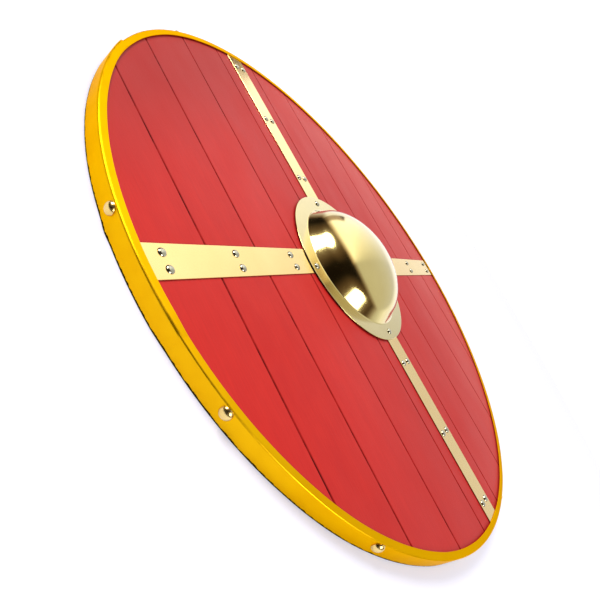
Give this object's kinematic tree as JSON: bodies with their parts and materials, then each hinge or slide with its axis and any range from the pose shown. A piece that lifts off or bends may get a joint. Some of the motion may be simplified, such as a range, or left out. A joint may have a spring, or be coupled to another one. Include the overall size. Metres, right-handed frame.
{
  "type": "round shield",
  "caption": "Round wooden shield with a scored plank face, a metal boss, riveted strap arms, a nailed metal rim and a wooden grip across the hand hole on its back.",
  "frame": {"origin": "centre of the rim, at its rear edge", "axes": "+Z out of the painted face, through the boss; +Y along the planks; +X across them"},
  "size_m": [0.6114, 0.61, 0.0552],
  "materials": {
    "painted_wood": "satin red paint on the face, bare wood behind",
    "rim_metal": "satin gold-lacquered sheet",
    "boss_brass": "polished",
    "strap_brass": "polished sheet",
    "rivet_metal": "polished, with a greenish silver cast",
    "nail_brass": "polished",
    "bare_wood": "bare, smoothed"
  },
  "bodies": {
    "root": {"board": "painted_wood", "rim_hoop": "rim_metal", "boss": "boss_brass", "strap_top": "strap_brass", "strap_left": "strap_brass", "strap_bottom": "strap_brass", "strap_right": "strap_brass", "strap_rivet_top_1a": "rivet_metal", "strap_rivet_top_1b": "rivet_metal", "strap_rivet_top_2a": "rivet_metal", "strap_rivet_top_2b": "rivet_metal", "strap_rivet_top_3a": "rivet_metal", "strap_rivet_top_3b": "rivet_metal", "strap_rivet_left_1a": "rivet_metal", "strap_rivet_left_1b": "rivet_metal", "strap_rivet_left_2a": "rivet_metal", "strap_rivet_left_2b": "rivet_metal", "strap_rivet_left_3a": "rivet_metal", "strap_rivet_left_3b": "rivet_metal", "strap_rivet_bottom_1a": "rivet_metal", "strap_rivet_bottom_1b": "rivet_metal", "strap_rivet_bottom_2a": "rivet_metal", "strap_rivet_bottom_2b": "rivet_metal", "strap_rivet_bottom_3a": "rivet_metal", "strap_rivet_bottom_3b": "rivet_metal", "strap_rivet_right_1a": "rivet_metal", "strap_rivet_right_1b": "rivet_metal", "strap_rivet_right_2a": "rivet_metal", "strap_rivet_right_2b": "rivet_metal", "strap_rivet_right_3a": "rivet_metal", "strap_rivet_right_3b": "rivet_metal", "boss_rivet_top": "rivet_metal", "boss_rivet_left": "rivet_metal", "boss_rivet_bottom": "rivet_metal", "boss_rivet_right": "rivet_metal", "rim_nail_01": "nail_brass", "rim_nail_02": "nail_brass", "rim_nail_03": "nail_brass", "rim_nail_04": "nail_brass", "rim_nail_05": "nail_brass", "rim_nail_06": "nail_brass", "rim_nail_07": "nail_brass", "rim_nail_08": "nail_brass", "rim_nail_09": "nail_brass", "rim_nail_10": "nail_brass", "grip": "bare_wood"}
  },
  "joints": []
}
